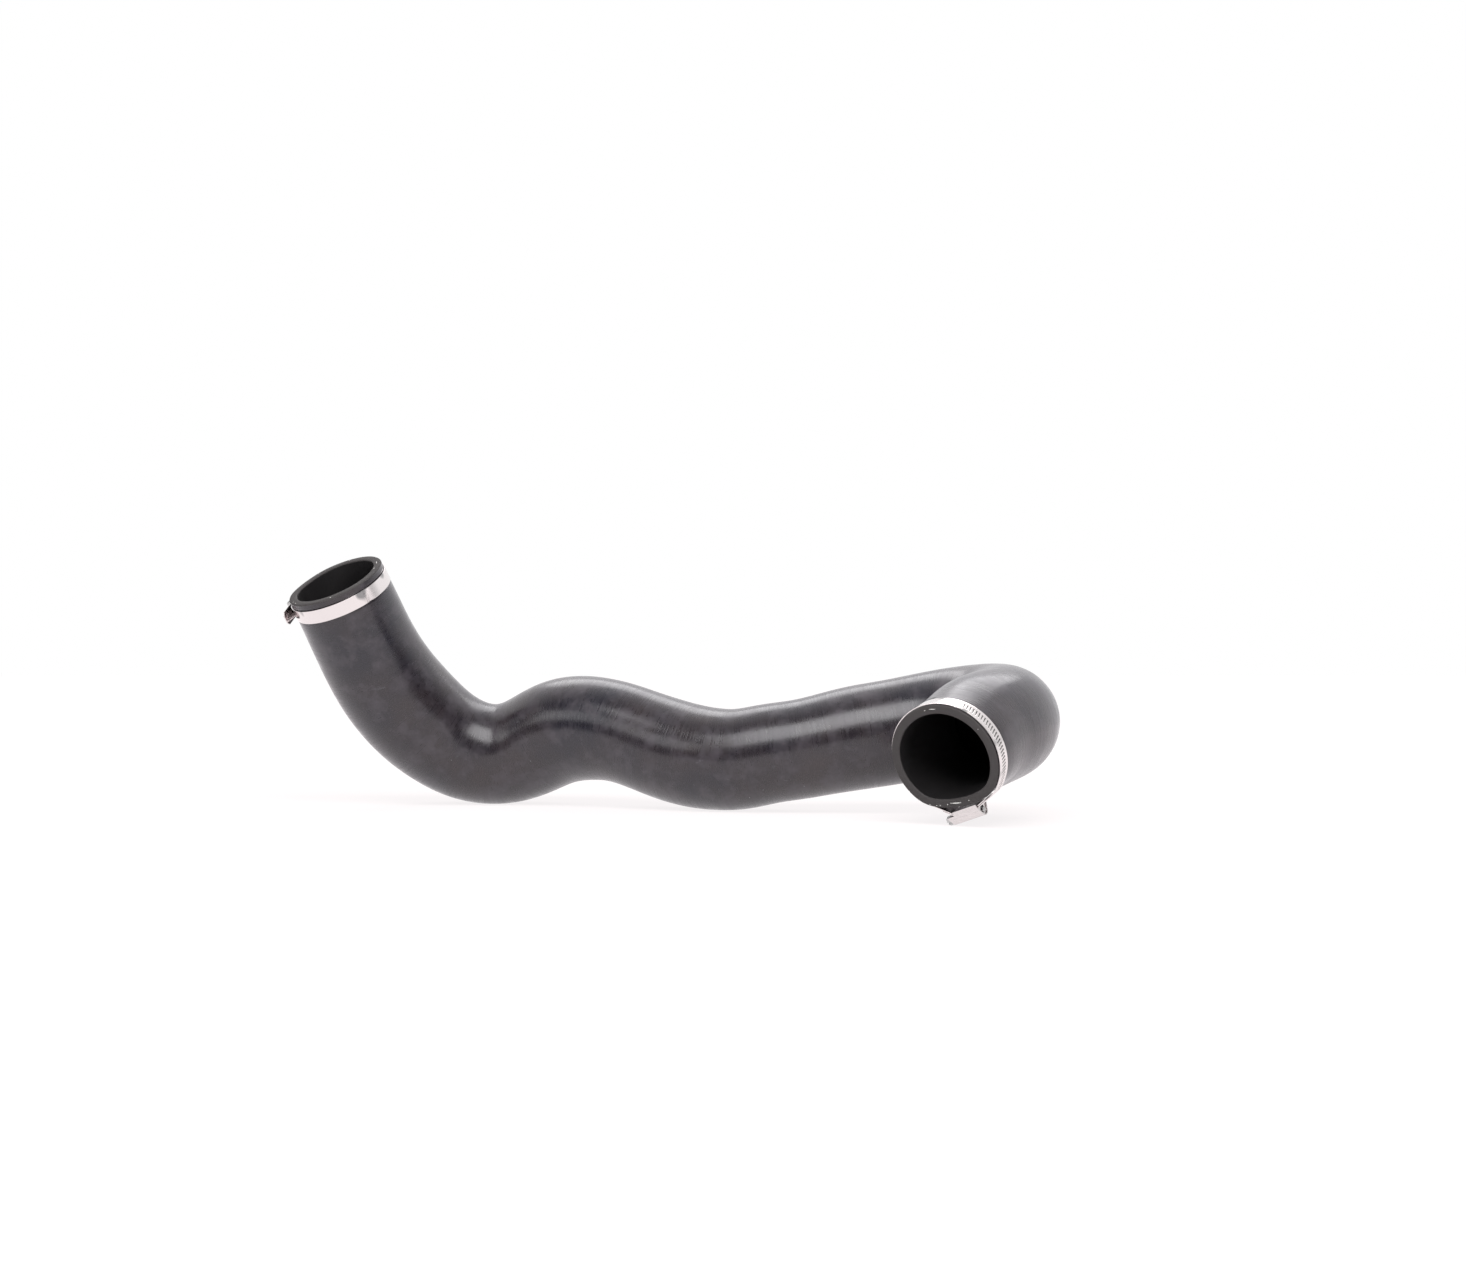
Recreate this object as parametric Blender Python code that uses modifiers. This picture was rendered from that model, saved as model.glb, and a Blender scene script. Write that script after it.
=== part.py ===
"""Moulded rubber air intake hose with a worm-drive clamp on each end.

Metres, +Z up. X runs along the hose from its upper mouth to its bend, and Y runs from the
side where both mouths open to the far side. The hose lies on the plane Z = 0 on its two low
curves and on the head of the lower clamp's screw. The origin is on that plane, in the middle
of the box around the whole part.
"""
import math

import bmesh
import bpy
import numpy as np
from mathutils import Matrix, Vector

MM = 0.001

# Main sizes of the hose, in mm: its nominal outer radius, and the lengths of its straight
# stretches below the upper mouth, in the middle of the long run and before the lower mouth
HOSE_R = 34.0
UPPER_LEG = 27.8
MIDDLE_RUN = 19.2
LOWER_LEG = 22.55

# Directions of the legs, out of the mouths, and the change of the outer radius at each mouth
UPPER_MOUTH_TOWARDS = (-9.0, -12.0, 23.4)
LOWER_MOUTH_TOWARDS = (-13.1, -16.8, -7.4)
UPPER_MOUTH_SWELL = -1.9
LOWER_MOUTH_SWELL = 0.2

# Stations of the hose's middle line, in mm: x, y, z and how far the outer radius is from
# HOSE_R. From the upper leg the hose drops to its first low curve, humps, and drops to the
# second one, up to the middle run.
LOW_CURVES = (
    (-249.7, 12.0, 125.6, -1.3),
    (-242.2, 22.4, 105.7, -0.6),
    (-228.9, 34.0, 80.2, 1.0),
    (-212.7, 43.0, 59.8, 1.6),
    (-196.9, 50.0, 45.8, 0.9),
    (-178.8, 54.0, 36.4, 0.4),
    (-158.9, 55.0, 33.7, 0.1),
    (-138.6, 52.0, 38.9, 0.6),
    (-117.5, 45.0, 48.7, 1.5),
    (-95.9, 36.0, 51.8, 0.9),
    (-75.3, 27.0, 49.4, -0.6),
    (-54.8, 18.0, 43.1, -0.9),
    (-34.7, 9.0, 36.9, -0.5),
    (-14.8, 0.0, 33.3, -0.8),
    (4.5, -7.0, 33.3, -1.5),
    (23.7, -11.0, 36.9, -1.9),
    (43.0, -14.0, 39.9, -2.0),
    (61.9, -16.0, 43.8, -1.4),
)

# After the middle run, with x counted from its far end, the hose rises and turns back in a
# tight bend to the lower leg.
TIGHT_BEND = (
    (0.0, -17.0, 47.7, -0.6),
    (19.4, -17.5, 50.9, -0.4),
    (39.9, -19.5, 54.8, -0.2),
    (60.9, -27.0, 58.6, 0.0),
    (77.4, -41.0, 60.4, 0.2),
    (83.9, -61.0, 59.8, 0.4),
    (77.5, -81.3, 57.5, 0.6),
    (64.9, -98.6, 54.0, 0.6),
    (51.4, -116.2, 47.8, 0.4),
)

# Hose sections, in mm: the wall, the rounding of the rims, the length over which a clamped
# end's shape fades out, the groove that a band presses in, the reach over which the middle
# line's direction is taken, and the arc and the sharpness of the corners of the flatter side
# under a housing
WALL = 5.5
SIDES = 28
RING_STEP = 11.0
RIM_ROUND = 0.8
END_BLEND = 30.0
BITE = 0.5
BITE_EDGE = 0.8
DIRECTION_REACH = 1.5
FLAT_SIDE_R = 66.0
FLAT_CORNER = 34.0

# Steel band, in mm, and the angles at which its taut outline is taken
BAND_WIDTH = 9.0
BAND_THICK = 0.6
BAND_STEP_DEG = 5.0
CLIMB_FROM_DEG = 26.0
CLIMB_OVER_DEG = 22.0
GAP = 0.3
TIP_HALF_WIDTH = 2.4
TIP_LENGTH = 2.0
ROUND_STEPS = 120
NORMAL_ANGLES = [math.radians(i / 2.0) for i in range(720)]
MARK_PITCH = 2.0
MARK_LENGTH = 3.9
MARK_WIDTH = 1.0
MARK_DEPTH = 0.3
MARK_SLANT_DEG = 16.0

# Housing, in mm: its barrel overhangs the band on the screw head's side
SHEET = 0.6
HOUSING_LENGTH = 22.5
HEAD_OVERHANG = 5.0
MOUTH_OVERHANG = 0.6
END_WALL = 1.2
ARCH_STEPS = 10

# Worm screw, in mm
WORM_CREST_R = 2.5
WORM_ROOT_R = 1.9
WORM_SIDES = 12
RINGS_PER_TURN = 6
NECK_R = 1.5
COLLAR_R = 2.5
COLLAR_THICK = 0.8
HEAD_ACROSS = 5.0
HEAD_HEIGHT = 2.8
SLOT_WIDTH = 1.2
SLOT_DEPTH = 1.6
HEAD_CHAMFER = 0.4

# Each clamp: which end it is on, how far its band's middle is behind the rim, which way its
# own +Z points along the hose (1 out of the mouth, -1 into it), the direction of its housing
# seen from the mouth's middle, how far the hose's end is squeezed to an oval and shifted
# towards the housing, the gap between the rubber and the housing's foot, how deep the flat
# side under the housing is, how far that side is turned off the housing's direction, how far
# the housing sits off the clamp's middle plane, the lengths of the band's tongue, tail and
# marked run, and how far the screw is turned.
CLAMPS = {
    "upper": {"at_start": True, "inset": 9.1, "facing": -1.0, "housing_towards": (-0.785, 0.62, 0.0),
              "oval": 0.0, "oval_shift": 0.0, "seat_gap": 0.3,
              "flat_depth": 1.2, "flat_turn_deg": 0.0, "housing_shift": 0.0, "tongue": 5.0, "tail_hug_deg": 18.0,
              "tail_straight": 20.0, "marked_run": 96.0, "screw_turn_deg": 0.0},
    "lower": {"at_start": False, "inset": 6.1, "facing": 1.0, "housing_towards": (0.459, 0.039, -0.888),
              "oval": 1.0, "oval_shift": 1.6, "seat_gap": 1.2,
              "flat_depth": 3.25, "flat_turn_deg": -7.6, "housing_shift": -6.4, "tongue": 7.0, "tail_hug_deg": 8.0,
              "tail_straight": 3.0, "marked_run": 98.0, "screw_turn_deg": 22.0},
}


def clear_scene():
    for old in list(bpy.data.objects):
        bpy.data.objects.remove(old, do_unlink=True)


def new_collection(name):
    collection = bpy.data.collections.new(name)
    bpy.context.scene.collection.children.link(collection)
    return collection


def material(name, colour, roughness, metallic):
    made = bpy.data.materials.new(name)
    made.use_nodes = True
    shader = made.node_tree.nodes["Principled BSDF"]
    shader.inputs["Base Color"].default_value = (*colour, 1.0)
    shader.inputs["Roughness"].default_value = roughness
    shader.inputs["Metallic"].default_value = metallic
    made.diffuse_color = (*colour, 1.0)
    return made


def mesh_object(name, build, collection, mat=None, sharp_deg=35.0):
    """Make an object from a bmesh, smooth it up to the sharp angle and put it in the collection."""
    mesh = bpy.data.meshes.new(name)
    bmesh.ops.recalc_face_normals(build, faces=build.faces[:])
    build.to_mesh(mesh)
    build.free()
    mesh.shade_smooth()
    mesh.set_sharp_from_angle(angle=math.radians(sharp_deg))
    if mat is not None:
        mesh.materials.append(mat)
    made = bpy.data.objects.new(name, mesh)
    collection.objects.link(made)
    return made


def place(made, frame, parent=None):
    """Put an object at a frame given in its parent's space."""
    if parent is not None:
        made.parent = parent
    made.matrix_local = frame
    return made


def cutter(made):
    made.hide_render = True
    made.display_type = "WIRE"
    return made


def cut(target, tool):
    step = target.modifiers.new(tool.name, "BOOLEAN")
    step.operation = "DIFFERENCE"
    step.solver = "EXACT"
    step.object = tool


def loft(rings, join_ends=False):
    """Skin a list of rings of one count of points, and cap the ends or join them to each other."""
    build = bmesh.new()
    rows = [[build.verts.new(point) for point in ring] for ring in rings]
    count = len(rows[0])
    for row, after in zip(rows, rows[1:]):
        for i in range(count):
            j = (i + 1) % count
            build.faces.new((row[i], row[j], after[j], after[i]))
    if join_ends:
        for i in range(count):
            j = (i + 1) % count
            build.faces.new((rows[-1][i], rows[-1][j], rows[0][j], rows[0][i]))
    else:
        build.faces.new(rows[0])
        build.faces.new(rows[-1])
    return build


# The middle line as a smooth curve

def natural_spline(knots, values, at):
    """Read a natural cubic spline through the values, one column at a time."""
    steps = np.diff(knots)
    count = len(knots)
    system = np.eye(count)
    right = np.zeros((count, values.shape[1]))
    for i in range(1, count - 1):
        system[i, i - 1:i + 2] = steps[i - 1], 2.0 * (steps[i - 1] + steps[i]), steps[i]
        slope_after = (values[i + 1] - values[i]) / steps[i]
        slope_before = (values[i] - values[i - 1]) / steps[i - 1]
        right[i] = 6.0 * (slope_after - slope_before)
    bend = np.linalg.solve(system, right)
    span = np.clip(np.searchsorted(knots, at) - 1, 0, count - 2)
    width = steps[span][:, None]
    b = (at - knots[span])[:, None] / width
    a = 1.0 - b
    return (a * values[span] + b * values[span + 1]
            + ((a ** 3 - a) * bend[span] + (b ** 3 - b) * bend[span + 1]) * width ** 2 / 6.0)


def leg_end(station, length, towards, swell):
    """Station at a mouth, one straight leg away from the station before it."""
    heading = np.array(Vector(towards).normalized())
    return [*(station[:3] + heading * length), swell]


def route():
    """Stations of the whole middle line from the upper mouth to the lower one."""
    curves = np.array(LOW_CURVES)
    bend = np.array(TIGHT_BEND)
    bend[:, 0] += curves[-1, 0] + MIDDLE_RUN
    upper_end = leg_end(curves[0], UPPER_LEG, UPPER_MOUTH_TOWARDS, UPPER_MOUTH_SWELL)
    lower_end = leg_end(bend[-1], LOWER_LEG, LOWER_MOUTH_TOWARDS, LOWER_MOUTH_SWELL)
    stations = np.vstack([upper_end, curves, bend, lower_end])
    stations[:, 3] += HOSE_R
    return stations


class MiddleLine:
    """The hose's middle line, read by its length from the upper mouth."""

    def __init__(self):
        points = route()
        chords = np.linalg.norm(np.diff(points[:, :3], axis=0), axis=1)
        knots = np.concatenate([[0.0], np.cumsum(chords)])
        fine = np.linspace(0.0, knots[-1], 2000)
        self.points = natural_spline(knots, points, fine)
        steps = np.linalg.norm(np.diff(self.points[:, :3], axis=0), axis=1)
        self.along = np.concatenate([[0.0], np.cumsum(steps)])
        self.length = self.along[-1]

    def at(self, distance):
        values = [np.interp(distance, self.along, self.points[:, i]) for i in range(4)]
        return Vector(values[:3]), values[3]

    def direction(self, distance):
        low = max(0.0, distance - DIRECTION_REACH)
        high = min(self.length, distance + DIRECTION_REACH)
        return (self.at(high)[0] - self.at(low)[0]).normalized()


def smooth_step(value):
    value = min(max(value, 0.0), 1.0)
    return value * value * (3.0 - 2.0 * value)


# Clamp frames and the outline of the hose under a clamp

def clamp_frame(line, clamp):
    """Frame on the hose's middle line: +X to the housing, +Z along the hose."""
    if clamp["at_start"]:
        distance = clamp["inset"]
        outward = -line.direction(0.0)
    else:
        distance = line.length - clamp["inset"]
        outward = line.direction(line.length)
    end = line.at(0.0 if clamp["at_start"] else line.length)[0]
    centre = end - outward * clamp["inset"]
    z_axis = outward * clamp["facing"]
    x_axis = Vector(clamp["housing_towards"])
    x_axis = (x_axis - z_axis * x_axis.dot(z_axis)).normalized()
    y_axis = z_axis.cross(x_axis)
    rows = Matrix((x_axis, y_axis, z_axis)).transposed().to_4x4()
    return Matrix.Translation(centre) @ rows, line.at(distance)[1]


class EndShape:
    """The out-of-round end of the hose under one clamp: an oval with a flatter side."""

    def __init__(self, line, clamp):
        self.frame, self.outer_r = clamp_frame(line, clamp)
        self.flat_r = self.outer_r - clamp["flat_depth"]
        self.flat_turn = math.radians(clamp["flat_turn_deg"])
        self.oval = clamp["oval"]
        self.oval_shift = clamp["oval_shift"]
        self.foot = self.flat_r + clamp["seat_gap"]
        self.at_start = clamp["at_start"]
        self.inset = clamp["inset"]
        self.held = clamp["inset"] + BAND_WIDTH

    def radius(self, angle):
        """Outer radius at an angle round the mouth's middle."""
        oval_r = (self.outer_r - self.oval * math.cos(2.0 * angle)
                  + self.oval_shift * math.cos(angle))
        behind = FLAT_SIDE_R - self.flat_r
        off = angle - self.flat_turn
        side_r = math.sqrt(FLAT_SIDE_R ** 2 - (behind * math.sin(off)) ** 2) - behind * math.cos(off)
        return (oval_r ** -FLAT_CORNER + side_r ** -FLAT_CORNER) ** (-1.0 / FLAT_CORNER)

    def bitten(self, depth):
        """How far the band presses the outside in, at a depth behind the rim."""
        beyond = abs(depth - self.inset) - BAND_WIDTH / 2.0
        return BITE * smooth_step(1.0 - beyond / BITE_EDGE)

    def change(self, direction):
        """How far the end's outside and bore are from round, in one direction."""
        local = self.frame.to_3x3().inverted() @ direction
        return self.radius(math.atan2(local.y, local.x)) - self.outer_r


def ring_distances(line, ends):
    """Places of the hose's rings: both rims, the edges of the grooves, and evenly between."""
    fixed = [0.0, RIM_ROUND, line.length - RIM_ROUND, line.length]
    for end in ends:
        for reach in (BAND_WIDTH / 2.0, BAND_WIDTH / 2.0 + BITE_EDGE):
            for depth in (end.inset - reach, end.inset + reach):
                if depth > RIM_ROUND + GAP:
                    fixed.append(depth if end.at_start else line.length - depth)
    count = round(line.length / RING_STEP)
    between = [line.length * i / count for i in range(1, count)]
    clear = [here for here in between if min(abs(here - other) for other in fixed) > RING_STEP / 3.0]
    return sorted(fixed + clear)


def hose_body(line, ends, collection, mat):
    """A thick-walled tube along the middle line, with a flat rim at each mouth."""
    frames = []
    side = Vector((0.0, 1.0, 0.0))
    for distance in ring_distances(line, ends):
        forward = line.direction(distance)
        side = (side - forward * side.dot(forward)).normalized()
        frames.append((distance, side.copy(), forward.cross(side)))

    def ring(index, bore):
        distance, across, up = frames[index]
        centre, radius = line.at(distance)
        at_rim = index in (0, len(frames) - 1)
        if bore:
            radius += RIM_ROUND * at_rim - WALL
        else:
            radius -= RIM_ROUND * at_rim
        points = []
        for k in range(SIDES):
            turn = 2.0 * math.pi * k / SIDES
            direction = across * math.cos(turn) + up * math.sin(turn)
            size = radius
            for end in ends:
                depth = distance if end.at_start else line.length - distance
                size += end.change(direction) * smooth_step(1.0 - (depth - end.held) / END_BLEND)
                if not bore:
                    size -= end.bitten(depth)
            points.append((centre + direction * size) * MM)
        return points

    order = range(len(frames))
    rings = [ring(i, False) for i in order] + [ring(i, True) for i in reversed(order)]
    return mesh_object("hose_body", loft(rings, join_ends=True), collection, mat)


# Steel band

class BandPath:
    """The band's middle surface seen along the hose: a tongue, one turn, and a free tail."""

    def __init__(self, end, clamp):
        self.end = end
        self.tail_straight = clamp["tail_straight"]
        half_housing = HOUSING_LENGTH / 2.0
        self.head_corner = clamp["housing_shift"] - half_housing + HEAD_OVERHANG - MOUTH_OVERHANG
        self.mouth_corner = clamp["housing_shift"] + half_housing + MOUTH_OVERHANG
        tip_y = self.mouth_corner + clamp["tongue"]
        self.start = math.atan2(tip_y, end.foot)
        self.leave = (math.atan2(self.head_corner, end.foot) - 2.0 * math.pi
                      - math.radians(clamp["tail_hug_deg"]))

    def seat(self, layer):
        """Distance of a layer's middle from the mouth's middle, inside the housing."""
        return self.end.foot + SHEET + GAP + BAND_THICK / 2.0 + layer * (BAND_THICK + GAP)

    def point(self, turn):
        """Point of the taut band at a turning angle, which falls from the tongue to the tail.

        The band follows the outline that is wrapped tightly round the rubber and its seat.
        """
        second_time = math.degrees(self.start - 2.0 * math.pi - turn)
        layer = smooth_step((second_time + CLIMB_FROM_DEG) / CLIMB_OVER_DEG)
        lift = GAP - BITE + BAND_THICK / 2.0 + layer * (BAND_THICK + GAP)
        held = [(self.seat(layer), self.head_corner), (self.seat(layer), self.mouth_corner)]
        for i in range(ROUND_STEPS):
            angle = 2.0 * math.pi * i / ROUND_STEPS
            radius = self.end.radius(angle) + lift
            held.append((radius * math.cos(angle), radius * math.sin(angle)))
        normals = np.array([(math.cos(angle), math.sin(angle)) for angle in NORMAL_ANGLES])
        reach = (normals @ np.array(held).T).max(axis=1)
        facing = normals @ np.array((math.cos(turn), math.sin(turn)))
        ahead = facing > 0.2
        radius = (reach[ahead] / facing[ahead]).min()
        return Vector((radius * math.cos(turn), radius * math.sin(turn), 0.0))

    def turns(self):
        """Turning angles of the path's points, with one at each corner of the seat."""
        corners = []
        for y, layer in ((self.mouth_corner, 0.0), (self.head_corner, 0.0),
                         (self.mouth_corner, 1.0), (self.head_corner, 1.0)):
            corners.append(math.atan2(y, self.seat(layer)) - 2.0 * math.pi * layer)
        count = round(math.degrees(self.start - self.leave) / BAND_STEP_DEG)
        even = [self.start + (self.leave - self.start) * i / count for i in range(count + 1)]
        clear = math.radians(BAND_STEP_DEG / 2.0)
        kept = [turn for turn in even[1:-1] if min(abs(turn - other) for other in corners) > clear]
        return sorted([even[0], *kept, *corners, even[-1]], reverse=True)

    def points(self):
        path = [self.point(turn) for turn in self.turns()]
        heading = (path[-1] - path[-2]).normalized()
        clipped = self.tail_straight - TIP_LENGTH
        path += [path[-1] + heading * reach for reach in (clipped * 0.5, clipped, self.tail_straight)]
        return path


def band(name, end, clamp, parent, collection, cutters, mat):
    """A flat strip along the path, with clipped tail corners and slanted thread marks."""
    path = BandPath(end, clamp).points()
    steps = [(after - before).length for before, after in zip(path, path[1:])]
    along = np.concatenate([[0.0], np.cumsum(steps)])
    build = bmesh.new()
    rows = []
    for distance, point in zip(along, path):
        half = min(BAND_WIDTH / 2.0, TIP_HALF_WIDTH + along[-1] - distance)
        rows.append([build.verts.new(Vector((point.x, point.y, z)) * MM) for z in (-half, half)])
    for row, after in zip(rows, rows[1:]):
        build.faces.new((row[0], row[1], after[1], after[0]))
    made = mesh_object(name, build, collection, mat)
    place(made, Matrix.Identity(4), parent)
    shell = made.modifiers.new("thickness", "SOLIDIFY")
    shell.thickness = BAND_THICK * MM
    shell.offset = 0.0
    shell.use_even_offset = True
    marks = thread_marks(name + "_marks", path, along, clamp, cutters)
    place(marks, Matrix.Identity(4), parent)
    cut(made, marks)
    return made


def thread_marks(name, path, along, clamp, cutters):
    """Cutter: one slanted block for each mark that the worm runs in."""
    xs = np.array([point.x for point in path])
    ys = np.array([point.y for point in path])
    build = bmesh.new()
    last = along[-1] - 2.0 * MARK_PITCH
    count = int(clamp["marked_run"] / MARK_PITCH)
    for i in range(count):
        distance = last - i * MARK_PITCH
        here = Vector((np.interp(distance, along, xs), np.interp(distance, along, ys), 0.0))
        ahead = Vector((np.interp(distance + 0.5, along, xs), np.interp(distance + 0.5, along, ys), 0.0))
        heading = (ahead - here).normalized()
        outward = heading.cross(Vector((0.0, 0.0, 1.0)))
        if outward.dot(here) < 0.0:
            outward.negate()
        axes = Matrix((heading, outward.cross(heading), outward)).transposed().to_4x4()
        lift = BAND_THICK / 2.0 - MARK_DEPTH + 0.5
        frame = (Matrix.Translation((here + outward * lift) * MM) @ axes
                 @ Matrix.Rotation(math.radians(MARK_SLANT_DEG), 4, "Z")
                 @ Matrix.Diagonal((MARK_WIDTH * MM, MARK_LENGTH * MM, 1.0 * MM, 1.0)))
        bmesh.ops.create_cube(build, size=1.0, matrix=frame)
    return cutter(mesh_object(name, build, cutters))


# Housing

def arch_outline(half_width, foot, shoulder, axis_x, arch_r):
    """Outline across the band: upright feet, sides leaning in, and a round top."""
    corner = Vector((half_width, shoulder - axis_x))
    lean = math.atan2(corner.y, corner.x) + math.acos(arch_r / corner.length)
    points = [(half_width, foot), (half_width, shoulder)]
    for i in range(ARCH_STEPS + 1):
        turn = lean + (math.pi - 2.0 * lean) * i / ARCH_STEPS
        points.append((arch_r * math.cos(turn), axis_x + arch_r * math.sin(turn)))
    points += [(-half_width, shoulder), (-half_width, foot)]
    return points


def prism(outline, low_y, high_y):
    """Run an outline of (z, x) points from one y to the other."""
    rings = [[Vector((x, y, z)) * MM for z, x in outline] for y in (low_y, high_y)]
    return loft(rings)


def housing(name, end, clamp, parent, collection, cutters, mat):
    """A pressed arch around the worm, closed under both layers of the band."""
    shift = clamp["housing_shift"]
    low_y = shift - HOUSING_LENGTH / 2.0
    high_y = shift + HOUSING_LENGTH / 2.0
    foot = end.foot
    tunnel_low = foot + SHEET
    tunnel_high = tunnel_low + 2.0 * BAND_THICK + 3.0 * GAP
    axis_x = screw_height(end)
    inner_half = BAND_WIDTH / 2.0 + GAP
    outer = arch_outline(inner_half + SHEET, foot, tunnel_high, axis_x, WORM_CREST_R + GAP + SHEET)
    made = mesh_object(name, prism(outer, low_y, high_y), collection, mat)
    place(made, Matrix.Identity(4), parent)

    tunnel = [(inner_half, tunnel_low), (inner_half, tunnel_high),
              (-inner_half, tunnel_high), (-inner_half, tunnel_low)]
    chamber = arch_outline(inner_half, tunnel_high - GAP, tunnel_high, axis_x, WORM_CREST_R + GAP)
    reach = HOUSING_LENGTH
    open_half = inner_half + SHEET + GAP
    open_low = foot - GAP
    undercut = [(open_half, open_low), (open_half, tunnel_high - GAP),
                (-open_half, tunnel_high - GAP), (-open_half, open_low)]
    tools = (
        mesh_object(name + "_undercut", prism(undercut, low_y - GAP, low_y + HEAD_OVERHANG), cutters),
        mesh_object(name + "_tunnel", prism(tunnel, shift - reach, shift + reach), cutters),
        mesh_object(name + "_chamber", prism(chamber, low_y + END_WALL, high_y - END_WALL), cutters),
        mesh_object(name + "_neck", neck_bore(axis_x, shift - reach, shift + reach), cutters),
    )
    for tool in tools:
        place(cutter(tool), Matrix.Identity(4), parent)
        cut(made, tool)
    return made


def neck_bore(axis_x, low_y, high_y):
    """Round hole along the screw's axis, for its neck and its tip."""
    radius = NECK_R + GAP
    outline = []
    for i in range(16):
        turn = 2.0 * math.pi * i / 16
        outline.append((radius * math.cos(turn), axis_x + radius * math.sin(turn)))
    return prism(outline, low_y, high_y)


def screw_height(end):
    """Distance of the screw's axis from the mouth's middle."""
    return end.foot + SHEET + 2.0 * BAND_THICK + 3.0 * GAP + WORM_CREST_R


# Worm screw

def round_ring(radius):
    return lambda turn, height: radius


def hexagon(turn, height):
    sector = math.pi / 3.0
    return HEAD_ACROSS / 2.0 / math.cos((turn + sector / 2.0) % sector - sector / 2.0)


def worm_profile(low, high):
    """Radius of the worm: a ridge that turns once for each mark of the band."""
    def radius(turn, height):
        phase = (height / MARK_PITCH - turn / (2.0 * math.pi)) % 1.0
        ridge = min(1.0, max(0.0, 1.6 - 4.5 * abs(phase - 0.5)))
        fade = smooth_step(min(height - low, high - height) / (MARK_PITCH / 2.0))
        return WORM_ROOT_R + (WORM_CREST_R - WORM_ROOT_R) * ridge * fade
    return radius


def worm_screw(name, end, clamp, parent, collection, cutters, mat):
    """Slotted hexagon head, collar, neck, worm and tip as one turned and threaded piece."""
    half = HOUSING_LENGTH / 2.0
    worm_low = -half + END_WALL + GAP
    worm_high = half - END_WALL - GAP
    collar_low = half + GAP
    collar_high = collar_low + COLLAR_THICK
    head_high = collar_high + HEAD_HEIGHT
    neck = round_ring(NECK_R)
    collar = round_ring(COLLAR_R)
    sections = [(-half - GAP, round_ring(NECK_R - GAP)), (-half, neck), (worm_low, neck)]
    turns = (worm_high - worm_low) / MARK_PITCH
    rings = round(turns * RINGS_PER_TURN)
    worm = worm_profile(worm_low, worm_high)
    sections += [(worm_low + (worm_high - worm_low) * i / rings, worm) for i in range(rings + 1)]
    sections += [(worm_high, neck), (collar_low, neck), (collar_low, collar), (collar_high, collar),
                 (collar_high, hexagon), (head_high - HEAD_CHAMFER, hexagon),
                 (head_high, lambda turn, height: hexagon(turn, height) - HEAD_CHAMFER)]
    rows = []
    for height, radius in sections:
        row = []
        for k in range(WORM_SIDES):
            turn = 2.0 * math.pi * k / WORM_SIDES
            reach = radius(turn, height)
            row.append(Vector((reach * math.cos(turn), reach * math.sin(turn), height)) * MM)
        rows.append(row)
    made = mesh_object(name, loft(rows), collection, mat)
    towards_head = (Matrix.Rotation(math.radians(90.0), 4, "X")
                    @ Matrix.Rotation(math.radians(-clamp["screw_turn_deg"]), 4, "Z"))
    seat = Vector((screw_height(end), clamp["housing_shift"], 0.0)) * MM
    place(made, Matrix.Translation(seat) @ towards_head, parent)

    slot = bmesh.new()
    size = Matrix.Diagonal((SLOT_WIDTH * MM, 2.0 * HEAD_ACROSS * MM, 2.0 * SLOT_DEPTH * MM, 1.0))
    bmesh.ops.create_cube(slot, size=1.0, matrix=Matrix.Translation((0.0, 0.0, head_high * MM)) @ size)
    tool = cutter(mesh_object(name + "_slot", slot, cutters))
    place(tool, Matrix.Identity(4), made)
    cut(made, tool)
    return made


def worm_clamp(side, end, clamp, collection, cutters, steel, screw_steel):
    centre = bpy.data.objects.new(side + "_clamp_centre", None)
    collection.objects.link(centre)
    frame = end.frame.copy()
    frame.translation *= MM
    place(centre, frame)
    bpy.context.view_layer.update()
    band(side + "_band", end, clamp, centre, collection, cutters, steel)
    housing(side + "_housing", end, clamp, centre, collection, cutters, steel)
    worm_screw(side + "_worm_screw", end, clamp, centre, collection, cutters, screw_steel)


def stand_over_origin(collection):
    """Move the part so that the box around it is centred over the origin and stands on Z = 0."""
    bpy.context.view_layer.update()
    graph = bpy.context.evaluated_depsgraph_get()
    points = []
    for made in collection.objects:
        if made.type == "MESH":
            shown = made.evaluated_get(graph)
            points += [shown.matrix_world @ vert.co for vert in shown.data.vertices]
    low = [min(point[i] for point in points) for i in range(3)]
    high = [max(point[i] for point in points) for i in range(3)]
    for made in collection.objects:
        if made.parent is None:
            made.location -= Vector(((low[0] + high[0]) / 2.0, (low[1] + high[1]) / 2.0, low[2]))
    bpy.context.view_layer.update()


def main():
    clear_scene()
    parts = new_collection("air_intake_hose")
    cutters = new_collection("cutters")
    rubber = material("rubber", (0.035, 0.036, 0.040), 0.5, 0.0)
    steel = material("band_steel", (0.62, 0.61, 0.60), 0.25, 1.0)
    screw_steel = material("screw_steel", (0.55, 0.55, 0.54), 0.3, 1.0)
    line = MiddleLine()
    ends = {side: EndShape(line, clamp) for side, clamp in CLAMPS.items()}
    hose_body(line, list(ends.values()), parts, rubber)
    for side, clamp in CLAMPS.items():
        worm_clamp(side, ends[side], clamp, parts, cutters, steel, screw_steel)
    stand_over_origin(parts)


main()
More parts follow.
